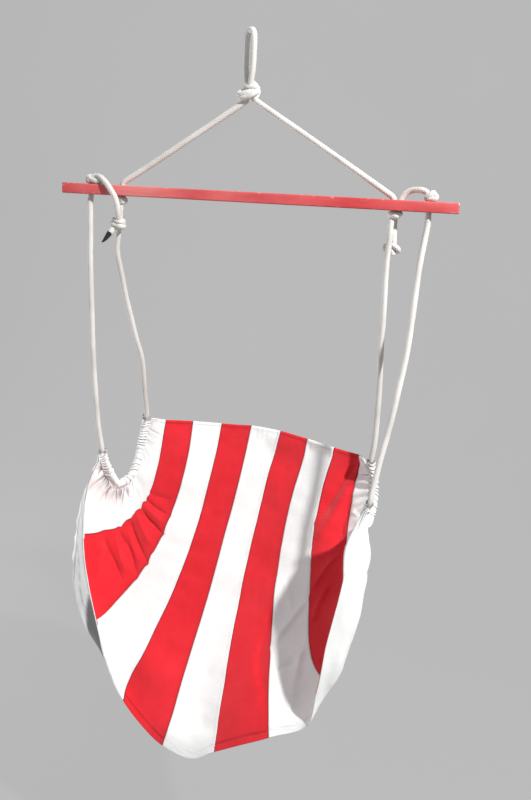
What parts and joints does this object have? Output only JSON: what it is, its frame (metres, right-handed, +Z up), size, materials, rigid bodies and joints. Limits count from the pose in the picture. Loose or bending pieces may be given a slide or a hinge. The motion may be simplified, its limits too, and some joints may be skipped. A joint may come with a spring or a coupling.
{
  "type": "hammock chair",
  "caption": "Hammock chair: a striped cloth sling seat on ropes under a painted wooden spreader bar, with a knotted rope eye that hangs on a hook.",
  "frame": {"origin": "inside top of the rope eye, where the hook bears", "axes": "+Z up; +X along the spreader bar to the viewer's right when looking into the seat; +Y towards the seat's back"},
  "size_m": [0.84, 0.3896, 1.5638],
  "materials": {
    "red_paint": "satin paint",
    "rope": "braided, matte",
    "white_cloth": "matte plain weave",
    "red_cloth": "matte plain weave",
    "lining_cloth": "matte plain weave",
    "tape": "slightly glossy tape"
  },
  "bodies": {
    "hanging_eye": {"eye_loop": "rope"},
    "apex": {"apex_knot": "rope"},
    "bar": {"spreader_bar": "red_paint", "top_rope_left": "rope", "top_rope_right": "rope", "inner_stopper_knot_left": "rope", "inner_stopper_knot_right": "rope", "outer_stopper_knot_left": "rope", "outer_stopper_knot_right": "rope", "outer_hole_rope_left": "rope", "outer_hole_rope_right": "rope", "tail_left": "rope", "tail_right": "rope"},
    "seat": {"rear_rope_left": "rope", "rear_rope_right": "rope", "front_rope_left": "rope", "front_rope_right": "rope", "casing_rope_left": "rope", "casing_rope_right": "rope", "closing_knot_left": "rope", "closing_knot_right": "rope", "rope_end_left": "rope", "rope_end_right": "rope", "taped_tip_left": "tape", "rope_casing_left": "white_cloth", "rope_casing_right": "white_cloth", "outer_lining": "lining_cloth", "stripe_1_white": "white_cloth", "stripe_2_red": "red_cloth", "stripe_3_white": "white_cloth", "stripe_4_red": "red_cloth", "stripe_5_white": "white_cloth", "stripe_6_red": "red_cloth", "stripe_7_white": "white_cloth", "stripe_8_red": "red_cloth", "stripe_9_white": "white_cloth"}
  },
  "joints": [
    {"name": "eye_twist", "type": "hinge", "parent": "hanging_eye", "child": "apex", "pos_m": [0, 0, -0.095], "axis": [0, 0, 1], "range_deg": [-90, 90], "stiffness_Nm_per_rad": 0.04},
    {"name": "bar_swing", "type": "hinge", "parent": "apex", "child": "bar", "pos_m": [0, 0, -0.1335], "axis": [1, 0, 0], "range_deg": [-30, 30]},
    {"name": "seat_swing", "type": "hinge", "parent": "bar", "child": "seat", "pos_m": [0.023, 0, -0.356], "axis": [1, 0, 0], "range_deg": [-25, 25], "deforming": ["tail_left", "tail_right"]}
  ]
}
